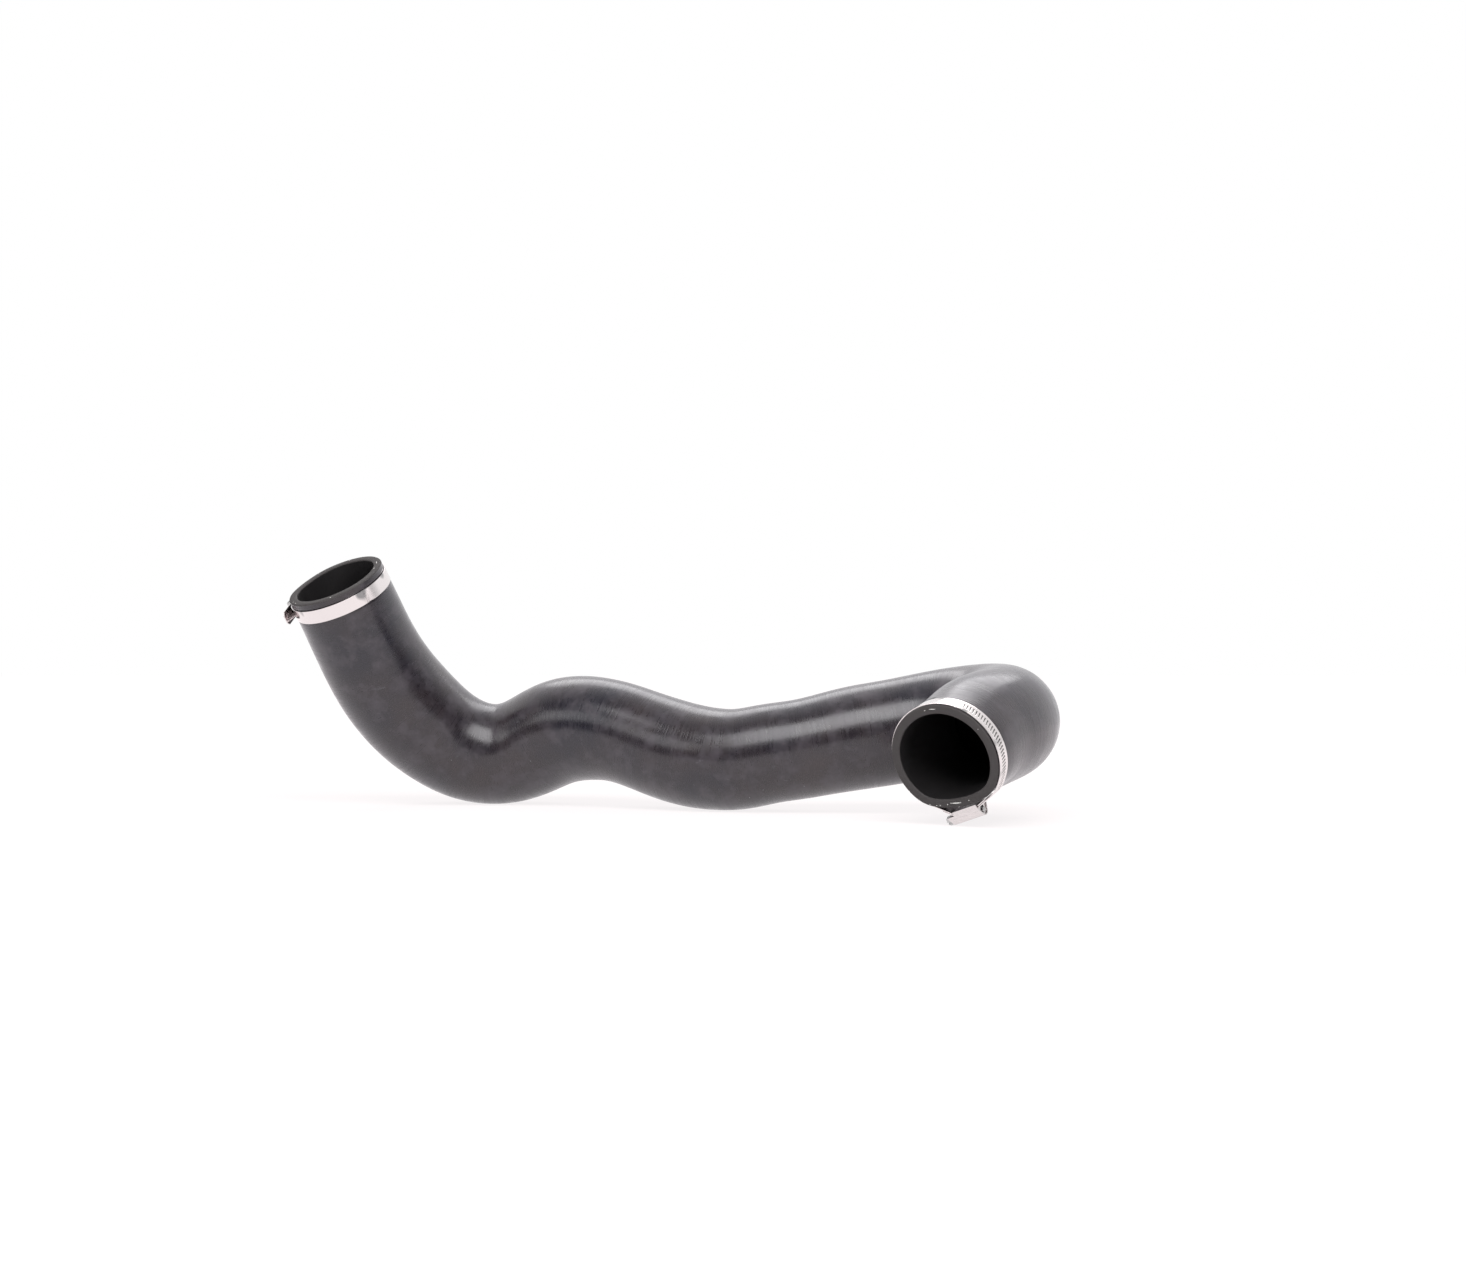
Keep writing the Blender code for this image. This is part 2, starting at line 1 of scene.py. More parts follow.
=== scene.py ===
# %% [markdown]
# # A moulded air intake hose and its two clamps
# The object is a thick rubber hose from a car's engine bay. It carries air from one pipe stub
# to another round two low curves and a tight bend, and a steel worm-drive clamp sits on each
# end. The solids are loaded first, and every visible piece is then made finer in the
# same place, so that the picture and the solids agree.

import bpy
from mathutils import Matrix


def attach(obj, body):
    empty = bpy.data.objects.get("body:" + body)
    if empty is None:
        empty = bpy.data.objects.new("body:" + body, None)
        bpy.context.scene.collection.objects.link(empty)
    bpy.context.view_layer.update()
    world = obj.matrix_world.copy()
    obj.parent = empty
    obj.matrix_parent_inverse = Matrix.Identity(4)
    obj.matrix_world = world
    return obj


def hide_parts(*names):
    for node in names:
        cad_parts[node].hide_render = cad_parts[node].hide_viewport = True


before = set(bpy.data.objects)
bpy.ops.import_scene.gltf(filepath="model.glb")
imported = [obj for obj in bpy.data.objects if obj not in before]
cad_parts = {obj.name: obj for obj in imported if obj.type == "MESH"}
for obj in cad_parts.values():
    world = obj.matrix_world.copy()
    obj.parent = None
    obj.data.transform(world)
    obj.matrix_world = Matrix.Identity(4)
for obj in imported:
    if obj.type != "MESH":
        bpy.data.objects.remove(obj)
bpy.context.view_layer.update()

# %% Bring in the modules and the unit
import math

import bmesh
import bpy
import numpy as np
from mathutils import Matrix, Vector, noise

MM = 0.001

# %% [markdown]
# ## The camera
# The camera comes first, because everything is judged through it. The mouths' ellipses and
# the line where the floor would vanish give the height of the lens, a little above the hose,
# and how many pixels one radian takes. A real lens length follows from that and the width of
# the sensor. The camera tips up by the little that puts the vanishing line below the middle.

# %% Stand the camera where the photographer stood
PHOTO_WIDTH = 1466
PHOTO_HEIGHT = 1276
FOCAL_PIXELS = 1694.0
HORIZON_ROW = 674.0
SENSOR_WIDTH = 36.0
LENS_PLACE = Vector((47.62, -1066.53, 88.08)) * MM

camera_data = bpy.data.cameras.new("camera")
camera_data.sensor_fit = "HORIZONTAL"
camera_data.sensor_width = SENSOR_WIDTH
camera_data.lens = FOCAL_PIXELS / PHOTO_WIDTH * SENSOR_WIDTH
camera = bpy.data.objects.new("camera", camera_data)
bpy.context.scene.collection.objects.link(camera)
tip_up = math.atan((HORIZON_ROW - PHOTO_HEIGHT / 2.0) / FOCAL_PIXELS)
camera.location = LENS_PLACE
camera.rotation_euler = (math.pi / 2.0 + tip_up, 0.0, 0.0)
bpy.context.scene.camera = camera
print("lens", round(camera_data.lens, 2), "mm, tipped up", round(math.degrees(tip_up), 2),
      "degrees")

# %% [markdown]
# ## The middle line of the hose
# A moulded hose is drawn as a route and a radius. The stations below are the ones that the
# solids were made from, in millimetres: x, y, z and the outer radius. A natural cubic spline
# runs through them, because it bends evenly between the stations, where straight runs and
# arcs would show as kinks in the highlights.

# %% Write down the route
ROUTE = (
    (-258.7, 0.0, 149.0, 32.1),
    (-249.7, 12.0, 125.6, 32.7),
    (-242.2, 22.4, 105.7, 33.4),
    (-228.9, 34.0, 80.2, 35.0),
    (-212.7, 43.0, 59.8, 35.6),
    (-196.9, 50.0, 45.8, 34.9),
    (-178.8, 54.0, 36.4, 34.4),
    (-158.9, 55.0, 33.7, 34.1),
    (-138.6, 52.0, 38.9, 34.6),
    (-117.5, 45.0, 48.7, 35.5),
    (-95.9, 36.0, 51.8, 34.9),
    (-75.3, 27.0, 49.4, 33.4),
    (-54.8, 18.0, 43.1, 33.1),
    (-34.7, 9.0, 36.9, 33.5),
    (-14.8, 0.0, 33.3, 33.2),
    (4.5, -7.0, 33.3, 32.5),
    (23.7, -11.0, 36.9, 32.1),
    (43.0, -14.0, 39.9, 32.0),
    (61.9, -16.0, 43.8, 32.6),
    (81.1, -17.0, 47.7, 33.4),
    (100.5, -17.5, 50.9, 33.6),
    (121.0, -19.5, 54.8, 33.8),
    (142.0, -27.0, 58.6, 34.0),
    (158.5, -41.0, 60.4, 34.2),
    (165.0, -61.0, 59.8, 34.4),
    (158.6, -81.3, 57.5, 34.6),
    (146.0, -98.6, 54.0, 34.6),
    (132.5, -116.2, 47.8, 34.4),
    (119.4, -133.0, 40.4, 34.2),
)
ORIGIN = (-47.622, -33.473, -0.079)
LINE_SAMPLES = 2000


# %% Run a smooth curve through the stations
def natural_spline(knots, values, at):
    steps = np.diff(knots)
    count = len(knots)
    system = np.eye(count)
    right = np.zeros((count, values.shape[1]))
    for i in range(1, count - 1):
        system[i, i - 1:i + 2] = steps[i - 1], 2.0 * (steps[i - 1] + steps[i]), steps[i]
        slope_after = (values[i + 1] - values[i]) / steps[i]
        slope_before = (values[i] - values[i - 1]) / steps[i - 1]
        right[i] = 6.0 * (slope_after - slope_before)
    bend = np.linalg.solve(system, right)
    span = np.clip(np.searchsorted(knots, at) - 1, 0, count - 2)
    width = steps[span][:, None]
    b = (at - knots[span])[:, None] / width
    a = 1.0 - b
    return (a * values[span] + b * values[span + 1]
            + ((a ** 3 - a) * bend[span] + (b ** 3 - b) * bend[span + 1]) * width ** 2 / 6.0)


stations = np.array(ROUTE)
stations[:, :3] -= np.array(ORIGIN)
chords = np.linalg.norm(np.diff(stations[:, :3], axis=0), axis=1)
knots = np.concatenate([[0.0], np.cumsum(chords)])
line = natural_spline(knots, stations, np.linspace(0.0, knots[-1], LINE_SAMPLES))
line_steps = np.linalg.norm(np.diff(line[:, :3], axis=0), axis=1)
line_along = np.concatenate([[0.0], np.cumsum(line_steps)])
line_length = line_along[-1]
print("middle line", round(line_length, 1), "mm long")


# %% Read the line at any distance from the upper mouth
DIRECTION_REACH = 1.5


def line_at(distance):
    values = [np.interp(distance, line_along, line[:, i]) for i in range(4)]
    return Vector(values[:3]), values[3]


def line_direction(distance):
    low = max(0.0, distance - DIRECTION_REACH)
    high = min(line_length, distance + DIRECTION_REACH)
    return (line_at(high)[0] - line_at(low)[0]).normalized()


def smooth_step(value):
    value = min(max(value, 0.0), 1.0)
    return value * value * (3.0 - 2.0 * value)


# %% [markdown]
# ## Where the clamps sit
# A worm-drive clamp squeezes the rubber flatter under its housing, so the hose's end is an
# oval with one flatter side. Each clamp gets a frame with +X to its housing and +Z along the
# hose, and both the rubber and the steel are shaped in it.

# %% Describe the two clamps
CLAMPS = {
    "upper": {"at_start": True, "inset": 9.1, "facing": -1.0,
              "housing_towards": (-0.785, 0.62, 0.0), "housing_shift": 0.0, "seat_gap": 0.3,
              "oval": 0.0, "oval_shift": 0.0, "flat_depth": 1.2, "flat_turn_deg": 0.0,
              "tongue": 5.0, "tail_hug_deg": 18.0, "tail_straight": 20.0, "marked_run": 96.0,
              "screw_turn_deg": 0.0},
    "lower": {"at_start": False, "inset": 6.1, "facing": 1.0,
              "housing_towards": (0.459, 0.039, -0.888), "housing_shift": -6.4, "seat_gap": 1.2,
              "oval": 1.0, "oval_shift": 1.6, "flat_depth": 3.25, "flat_turn_deg": -7.6,
              "tongue": 7.0, "tail_hug_deg": 8.0, "tail_straight": 3.0, "marked_run": 98.0,
              "screw_turn_deg": 22.0},
}
BAND_WIDTH = 9.0
FLAT_SIDE_R = 66.0
FLAT_CORNER = 34.0


def end_radius(place, angle):
    """Outer radius of the hose's end: a slight oval with a flatter side under the housing."""
    oval_r = (place["outer_r"] - place["oval"] * math.cos(2.0 * angle)
              + place["oval_shift"] * math.cos(angle))
    behind = FLAT_SIDE_R - place["flat_r"]
    off = angle - place["flat_turn"]
    side_r = math.sqrt(FLAT_SIDE_R ** 2 - (behind * math.sin(off)) ** 2) - behind * math.cos(off)
    return (oval_r ** -FLAT_CORNER + side_r ** -FLAT_CORNER) ** (-1.0 / FLAT_CORNER)


def clamp_place(clamp):
    """Frame of the clamp, and the sizes that the rubber and the steel share in it."""
    end = 0.0 if clamp["at_start"] else line_length
    outward = line_direction(end) * (-1.0 if clamp["at_start"] else 1.0)
    centre = line_at(end)[0] - outward * clamp["inset"]
    z_axis = outward * clamp["facing"]
    x_axis = Vector(clamp["housing_towards"])
    x_axis = (x_axis - z_axis * x_axis.dot(z_axis)).normalized()
    turned = Matrix((x_axis, z_axis.cross(x_axis), z_axis)).transposed().to_4x4()
    outer_r = line_at(abs(end - clamp["inset"]))[1]
    flat_r = outer_r - clamp["flat_depth"]
    return {"frame": Matrix.Translation(centre) @ turned, "outer_r": outer_r, "flat_r": flat_r,
            "flat_turn": math.radians(clamp["flat_turn_deg"]), "foot": flat_r + clamp["seat_gap"],
            "oval": clamp["oval"], "oval_shift": clamp["oval_shift"], "at_start": clamp["at_start"],
            "inset": clamp["inset"], "held": clamp["inset"] + BAND_WIDTH}


places = {side: clamp_place(clamp) for side, clamp in CLAMPS.items()}
for side, place in places.items():
    print(side, "clamp at", [round(c, 1) for c in place["frame"].translation], "mm")

# %% [markdown]
# ## The rubber hose
# The real hose is wound from rubber and fabric on a bent core and cured in a wrap of tape. It
# could be a curve with a bevel, but its ends are out of round and its wall differs there. So
# rings are set along the middle line and bridged: one set for the outside, one for the bore,
# and the two sets meet at the rims. The rings are close together, so the highlights run clean.

# %% Shape the out-of-round ends and the grooves under the bands
WALL = 5.5
END_BLEND = 30.0
BITE = 0.5
BITE_EDGE = 0.8


def end_change(distance, direction):
    """Change of the radius near the mouths, in one direction from the middle line."""
    total = 0.0
    for place in places.values():
        depth = distance if place["at_start"] else line_length - distance
        hold = smooth_step(1.0 - (depth - place["held"]) / END_BLEND)
        if hold == 0.0:
            continue
        local = place["frame"].to_3x3().inverted() @ direction
        total += (end_radius(place, math.atan2(local.y, local.x)) - place["outer_r"]) * hold
    return total


def bitten(distance):
    """How far a band presses the outside in."""
    total = 0.0
    for place in places.values():
        depth = distance if place["at_start"] else line_length - distance
        beyond = abs(depth - place["inset"]) - BAND_WIDTH / 2.0
        total += BITE * smooth_step(1.0 - beyond / BITE_EDGE)
    return total


# %% Set the rings and bridge them
HOSE_SIDES = 72
HOSE_RING_STEP = 3.6
END_RING_STEP = 0.8
END_REACH = 20.0
WAVINESS = 0.14
WAVE_LENGTH = 26.0
SETTLE = 0.15
HAIR = 0.02


def hose_frames(start, end):
    """Places along the line with two axes across it, carried on without a twist."""
    across = Vector((0.0, 1.0, 0.0))
    entries = []
    near_rim = np.arange(0.0, END_REACH, END_RING_STEP)
    between = np.linspace(END_REACH, line_length - END_REACH, round(line_length / HOSE_RING_STEP))
    for distance in (*(start + near_rim), *between, *(end - near_rim[::-1])):
        forward = line_direction(distance)
        across = (across - forward * across.dot(forward)).normalized()
        entries.append((float(distance), across, forward.cross(across)))
    return entries


def hose_ring(bm, layers, entry, bore):
    """One ring of points round the middle line; each point remembers where it is."""
    distance, side_axis, up_axis = entry
    centre, radius = line_at(distance)
    made = bmesh.ops.create_circle(bm, cap_ends=False, segments=HOSE_SIDES, radius=1.0)
    for vert in made["verts"]:
        turn = math.atan2(vert.co.y, vert.co.x) % (2.0 * math.pi)
        direction = side_axis * vert.co.x + up_axis * vert.co.y
        inward = WALL if bore else SETTLE + bitten(distance)
        size = radius - inward + end_change(distance, direction)
        point = centre + direction * size
        size += WAVINESS * noise.noise(point / WAVE_LENGTH)
        vert.co = (centre + direction * size) * MM
        vert[layers[0]] = distance * MM
        vert[layers[1]] = turn
    return list({edge for vert in made["verts"] for edge in vert.link_edges})


def bridge_in_order(bm, loops, join_ends):
    """Bridge each loop to the next; no two may share a plane, or the bridge can run crossed."""
    pairs = list(zip(loops, loops[1:]))
    if join_ends:
        pairs.append((loops[-1], loops[0]))
    for first, second in pairs:
        bmesh.ops.bridge_loops(bm, edges=first + second)


hose = bmesh.new()
hose_layers = (hose.verts.layers.float.new("along"), hose.verts.layers.float.new("around"))
outside_loops = [hose_ring(hose, hose_layers, entry, False)
                 for entry in hose_frames(0.0, line_length)]
bore_loops = [hose_ring(hose, hose_layers, entry, True)
              for entry in hose_frames(HAIR, line_length - HAIR)]
bridge_in_order(hose, outside_loops + bore_loops[::-1], True)
print("hose has", len(hose.faces), "faces before its rims are rounded")

# %% Round the rims and sort the faces into outside, bore and cut end
RIM_ROUND = 0.8
OUTSIDE, BORE, CUT_END = 0, 1, 2

rim_edges = outside_loops[0] + outside_loops[-1] + bore_loops[0] + bore_loops[-1]
for face in hose.faces:
    inner = face.calc_center_median() / MM
    spans = [vert[hose_layers[0]] for vert in face.verts]
    nearest = line_at(sum(spans) / len(spans) / MM)
    face.material_index = OUTSIDE if (inner - nearest[0]).length > nearest[1] - WALL / 2.0 else BORE
    if max(spans) - min(spans) < 2.0 * HAIR * MM:
        face.material_index = CUT_END
bmesh.ops.bevel(hose, geom=rim_edges, offset=RIM_ROUND * MM, segments=3, profile=0.5,
                affect="EDGES", material=CUT_END)
bmesh.ops.recalc_face_normals(hose, faces=hose.faces[:])

# %% Lay a map on the hose: metres along it and metres round it
MAP_RADIUS = 0.034


def lay_map(bm, layers, name):
    """Give each corner its distance along and round, and close the map where the turn ends."""
    uv = bm.loops.layers.uv.new(name)
    for face in bm.faces:
        turns = [loop.vert[layers[1]] for loop in face.loops]
        crosses = max(turns) - min(turns) > math.pi
        for loop, turn in zip(face.loops, turns):
            if crosses and turn < math.pi:
                turn += 2.0 * math.pi
            loop[uv].uv = (loop.vert[layers[0]], turn * MAP_RADIUS)


lay_map(hose, hose_layers, "hose_map")


def finished(name, bm, sharp_deg=40.0):
    """Make the mesh a smooth-shaded object at the origin."""
    mesh = bpy.data.meshes.new(name)
    bm.to_mesh(mesh)
    bm.free()
    mesh.shade_smooth()
    mesh.set_sharp_from_angle(angle=math.radians(sharp_deg))
    made = bpy.data.objects.new(name, mesh)
    bpy.context.scene.collection.objects.link(made)
    return made


rubber_hose = finished("rubber_hose", hose)
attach(rubber_hose, "hose")
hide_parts("hose_body")
print("rubber hose:", len(rubber_hose.data.polygons), "faces")

# %% [markdown]
# ## Cut yarn ends
# Where the hose was cut to length, the knife went through the fabric inside the wall. A few
# pale yarn ends show on each rim. Each is a short strand swept along the rim, nearly sunk in
# it, and they are grouped the way cut fabric frays: some longer floats and some dots. A list
# gives each one's angle, its distance in from the outside, its length and its thickness.

# %% Sweep short strands along the rims
STRAND_SIDES = 8
STRAND_STEPS = 6
YARN_ENDS = {
    "lower": ((-13.2, 2.7, 7.4, 0.38), (-24.8, 2.3, 0.8, 0.32), (5.4, 2.7, 0.7, 0.28),
              (-38.0, 1.2, 0.6, 0.24), (-34.0, 1.6, 0.8, 0.24), (-45.7, 1.0, 0.7, 0.22),
              (-58.0, 0.9, 0.6, 0.2), (-70.3, 0.9, 0.5, 0.2), (161.8, 2.4, 4.4, 0.27),
              (171.9, 2.5, 0.9, 0.25), (104.0, 2.6, 0.6, 0.2)),
    "upper": ((131.0, 3.2, 5.2, 0.3), (151.0, 3.7, 1.8, 0.28), (113.0, 1.4, 0.9, 0.28),
              (-130.8, 1.4, 0.9, 0.32), (-65.6, 1.8, 0.6, 0.24), (-73.1, 1.8, 0.7, 0.24),
              (64.0, 2.6, 0.7, 0.22), (20.0, 2.4, 0.6, 0.2)),
}


def strand(bm, path, thickness):
    """Bridge small rings along a path, thinner at both tips, and close the tips."""
    rings = []
    for i, point in enumerate(path):
        ahead = path[min(i + 1, len(path) - 1)] - path[max(i - 1, 0)]
        turned = ahead.to_track_quat("Z", "Y").to_matrix().to_4x4()
        taper = max(0.25, math.sin(math.pi * (i + 0.5) / len(path)))
        made = bmesh.ops.create_circle(bm, cap_ends=i in (0, len(path) - 1), segments=STRAND_SIDES,
                                       radius=thickness * taper * MM,
                                       matrix=Matrix.Translation(point * MM) @ turned)
        rings.append(list({edge for vert in made["verts"] for edge in vert.link_edges}))
    bridge_in_order(bm, rings, False)


yarn = bmesh.new()
for side, place in places.items():
    clamp = CLAMPS[side]
    rim_z = clamp["inset"] * clamp["facing"]
    for angle_deg, inwards, length, thickness in YARN_ENDS[side]:
        middle = math.radians(angle_deg)
        radius = end_radius(place, middle) - SETTLE - inwards
        path = []
        for i in range(STRAND_STEPS):
            turn = middle + (i / (STRAND_STEPS - 1.0) - 0.5) * length / radius
            point = Vector((radius * math.cos(turn), radius * math.sin(turn), rim_z))
            path.append(place["frame"] @ point)
        strand(yarn, path, thickness)
bmesh.ops.recalc_face_normals(yarn, faces=yarn.faces[:])
yarn_ends = finished("cut_yarn_ends", yarn)
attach(yarn_ends, "hose")
print("yarn ends:", sum(len(ends) for ends in YARN_ENDS.values()))

# %% [markdown]
# ## The clamp bands
# A band is a flat steel strip. Its last stretch is stamped with slanted marks that the worm
# runs in, its free corners are clipped, and the strip is then bent once round the hose and
# through its housing. The same order works here: a flat grid is stamped, then wrapped onto a
# path, and a modifier gives it the thickness of the sheet.

# %% Find the path that a band follows round the hose
GAP = 0.3
BAND_THICK = 0.6
SHEET = 0.6
HOUSING_LENGTH = 22.5
HEAD_OVERHANG = 5.0
MOUTH_OVERHANG = 0.6
CLIMB_FROM_DEG = 26.0
CLIMB_OVER_DEG = 22.0
PATH_STEP_DEG = 0.5
TAIL_STEP = 0.5
FACING_LIMIT = 0.2


def seat_corners(clamp):
    """Where the band leaves its seat, on the head's side and on the other."""
    half = HOUSING_LENGTH / 2.0
    return (clamp["housing_shift"] - half + HEAD_OVERHANG - MOUTH_OVERHANG,
            clamp["housing_shift"] + half + MOUTH_OVERHANG)


ROUND_ANGLES = np.radians(np.arange(0.0, 360.0, 3.0))
NORMALS = np.array([(math.cos(a), math.sin(a)) for a in np.radians(np.arange(0.0, 360.0, 0.5))])


def band_point(turn, start, place, clamp):
    """A taut band follows the outline wrapped tightly round the rubber and its seat."""
    second_time = math.degrees(start - 2.0 * math.pi - turn)
    layer = smooth_step((second_time + CLIMB_FROM_DEG) / CLIMB_OVER_DEG) * (BAND_THICK + GAP)
    seat = place["foot"] + SHEET + GAP + BAND_THICK / 2.0 + layer
    radii = place["round"] + GAP - BITE + BAND_THICK / 2.0 + layer
    held = np.column_stack([radii * np.cos(ROUND_ANGLES), radii * np.sin(ROUND_ANGLES)])
    held = np.vstack([held, [(seat, y) for y in seat_corners(clamp)]])
    reach = (NORMALS @ held.T).max(axis=1)
    facing = NORMALS @ np.array((math.cos(turn), math.sin(turn)))
    ahead = facing > FACING_LIMIT
    radius = (reach[ahead] / facing[ahead]).min()
    return Vector((radius * math.cos(turn), radius * math.sin(turn), 0.0))


def band_path(place, clamp):
    place["round"] = np.array([end_radius(place, angle) for angle in ROUND_ANGLES])
    head_corner, mouth_corner = seat_corners(clamp)
    start = math.atan2(mouth_corner + clamp["tongue"], place["foot"])
    leave = (math.atan2(head_corner, place["foot"]) - 2.0 * math.pi
             - math.radians(clamp["tail_hug_deg"]))
    count = round(math.degrees(start - leave) / PATH_STEP_DEG)
    path = [band_point(start + (leave - start) * i / count, start, place, clamp)
            for i in range(count + 1)]
    heading = (path[-1] - path[-2]).normalized()
    tail_count = int(clamp["tail_straight"] / TAIL_STEP)
    tail = [path[-1] + heading * i * TAIL_STEP for i in range(1, tail_count + 1)]
    return np.array([point[:2] for point in path + tail])


# %% Stamp a flat strip
MARK_PITCH = 2.0
MARK_LENGTH = 3.9
MARK_WIDTH = 1.05
MARK_DROP = 0.24
MARK_SLANT = math.tan(math.radians(16.0))
MARK_NARROWING = 0.35
MARK_EDGE = 0.36
MARK_END_EDGE = 0.5
MARK_MARGIN = 0.8
MARK_FLOOR_SHARE = 0.45
TIP_HALF_WIDTH = 2.4
FINE_STEP = 0.2
COARSE_STEP = 1.2
STRIP_ROWS = 26


def mark_depth(x, y, last_mark):
    """How deep the stamping is at a place on the flat strip, comma-shaped and slanted."""
    along = (last_mark - x + y * MARK_SLANT) / MARK_PITCH
    off = (along - round(along)) * MARK_PITCH
    narrow = 1.0 - MARK_NARROWING * (y / MARK_LENGTH + 0.5)
    across_mark = smooth_step((MARK_WIDTH * narrow / 2.0 + MARK_EDGE / 2.0 - abs(off)) / MARK_EDGE)
    end_off = abs(y) - MARK_LENGTH / 2.0
    return MARK_DROP * across_mark * smooth_step((MARK_END_EDGE / 2.0 - end_off) / MARK_END_EDGE)


def stamped_strip(length, marked_run):
    """A flat grid of the band's size, x along it and y across, with its marks pressed in."""
    last_mark = length - 2.0 * MARK_PITCH
    first_mark = last_mark - marked_run
    plain = np.arange(0.0, first_mark - MARK_PITCH, COARSE_STEP)
    fine_count = round((length - first_mark + MARK_PITCH) / FINE_STEP)
    columns = np.concatenate([plain, np.linspace(first_mark - MARK_PITCH, length, fine_count)])
    strip = bmesh.new()
    bmesh.ops.create_grid(strip, x_segments=len(columns) - 1, y_segments=STRIP_ROWS, size=0.5)
    for vert in strip.verts:
        x = columns[round((vert.co.x + 0.5) * (len(columns) - 1))]
        half = min(BAND_WIDTH / 2.0, TIP_HALF_WIDTH + length - x)
        y = vert.co.y * 2.0 * half
        marked = first_mark - MARK_MARGIN < x < last_mark + MARK_MARGIN
        vert.co = Vector((x, y, -mark_depth(x, y, last_mark) if marked else 0.0))
    # The floors of the marks get the second finish, a nearly black steel that is painted shade in
    # the recesses.
    for face in strip.faces:
        if sum(vert.co.z for vert in face.verts) / len(face.verts) < -MARK_FLOOR_SHARE * MARK_DROP:
            face.material_index = 1
    return strip


# %% Bend the strip onto its path
def bend_strip(strip, path, place_frame):
    steps = np.linalg.norm(np.diff(path, axis=0), axis=1)
    along = np.concatenate([[0.0], np.cumsum(steps)])
    headings = np.gradient(path, along, axis=0)
    uv = strip.loops.layers.uv.new("strip_map")
    for face in strip.faces:
        for loop in face.loops:
            loop[uv].uv = loop.vert.co.xy * MM
    for vert in strip.verts:
        here = Vector([np.interp(vert.co.x, along, path[:, i]) for i in range(2)])
        heading = Vector([np.interp(vert.co.x, along, headings[:, i]) for i in range(2)])
        heading.normalize()
        outward = Vector((-heading.y, heading.x))
        if outward.dot(here) < 0.0:
            outward.negate()
        flat = here + outward * vert.co.z
        vert.co = place_frame @ Vector((flat.x, flat.y, vert.co.y)) * MM
    bmesh.ops.recalc_face_normals(strip, faces=strip.faces[:])


def rounded_edges(made, width, angle_deg):
    """Give the sharp edges a fine round that catches the light."""
    edge = made.modifiers.new("edge", "BEVEL")
    edge.width = width * MM
    edge.segments = 2
    edge.limit_method = "ANGLE"
    edge.angle_limit = math.radians(angle_deg)


bands = {}
for side, place in places.items():
    path = band_path(place, CLAMPS[side])
    strip_length = float(np.linalg.norm(np.diff(path, axis=0), axis=1).sum())
    strip = stamped_strip(strip_length, CLAMPS[side]["marked_run"])
    bend_strip(strip, path, place["frame"])
    band = finished(side + "_clamp_band", strip, 60.0)
    sheet = band.modifiers.new("sheet", "SOLIDIFY")
    sheet.thickness = BAND_THICK * MM
    sheet.offset = 0.0
    rounded_edges(band, 0.12, 60.0)
    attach(band, "hose")
    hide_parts(side + "_band")
    bands[side] = band
    print(side, "band strip", round(strip_length, 1), "mm long,", len(band.data.polygons), "faces")

# %% [markdown]
# ## The housings
# A housing is pressed from sheet: upright feet beside the band, sides that lean in, and a
# round top over the worm. Both ends are turned in to hold the screw. Outlines of the outside
# and of the hollow are set one behind the other and bridged in order, so the wall, the
# turned-in ends and the openings come out as one closed skin.

# %% Draw the outlines across the band
END_WALL = 1.2
WORM_CREST_R = 2.5
NECK_R = 1.5
END_RECESS = 0.7
TURNED_IN = 0.9
ARCH_STEPS = 20
SEAM_HEIGHT = 0.42
SEAM_DEPTH = 0.32
SEAM_WIDTH = 0.4


def arch_outline(half_width, foot, shoulder, axis_x, arch_r, seam=0.0):
    """Feet, leaning sides and round top, as (z, x) points; a seam presses a line into each side."""
    corner = Vector((half_width, shoulder - axis_x))
    lean = math.atan2(corner.y, corner.x) + math.acos(arch_r / corner.length)
    start = Vector((arch_r * math.cos(lean), axis_x + arch_r * math.sin(lean)))
    low = Vector((half_width, shoulder))
    run = (start - low).normalized()
    middle = low.lerp(start, SEAM_HEIGHT)
    inward = Vector((-run.y, run.x)) * seam
    side_line = [Vector((half_width, foot)), Vector((half_width, (foot + shoulder) / 2.0)), low,
                 middle - run * SEAM_WIDTH, middle + inward, middle + run * SEAM_WIDTH, start]
    arch = []
    for i in range(1, ARCH_STEPS):
        turn = lean + (math.pi - 2.0 * lean) * i / ARCH_STEPS
        arch.append(Vector((arch_r * math.cos(turn), axis_x + arch_r * math.sin(turn))))
    mirrored = [Vector((-point.x, point.y)) for point in reversed(side_line)]
    return side_line + arch + mirrored


def keyhole_outline(half_width, foot, shoulder, axis_x, hole_r):
    """The opening in a turned-in end: the band's slot with the screw's seat above it."""
    seat = []
    for i in range(ARCH_STEPS + 1):
        turn = math.pi * i / ARCH_STEPS
        seat.append(Vector((hole_r * math.cos(turn), axis_x + hole_r * math.sin(turn))))
    right = [Vector((half_width, foot)), Vector((half_width, shoulder)), Vector((hole_r, shoulder))]
    left = [Vector((-point.x, point.y)) for point in reversed(right)]
    return right + seat + left


# %% Bridge the outlines into a pressed housing
def outline_ring(bm, outline, y, place_frame):
    verts = [bm.verts.new(place_frame @ Vector((x, y, z)) * MM) for z, x in outline]
    return [bm.edges.new((verts[i - 1], verts[i])) for i in range(len(verts))]


def carved(target, tool):
    """Cut the tool out of the target for good, and throw the tool away."""
    cut = target.modifiers.new("cut", "BOOLEAN")
    cut.operation = "DIFFERENCE"
    cut.solver = "EXACT"
    cut.object = tool
    bpy.context.view_layer.update()
    evaluated = target.evaluated_get(bpy.context.evaluated_depsgraph_get())
    mesh = bpy.data.meshes.new_from_object(evaluated)
    target.modifiers.clear()
    target.data = mesh
    bpy.data.objects.remove(tool, do_unlink=True)


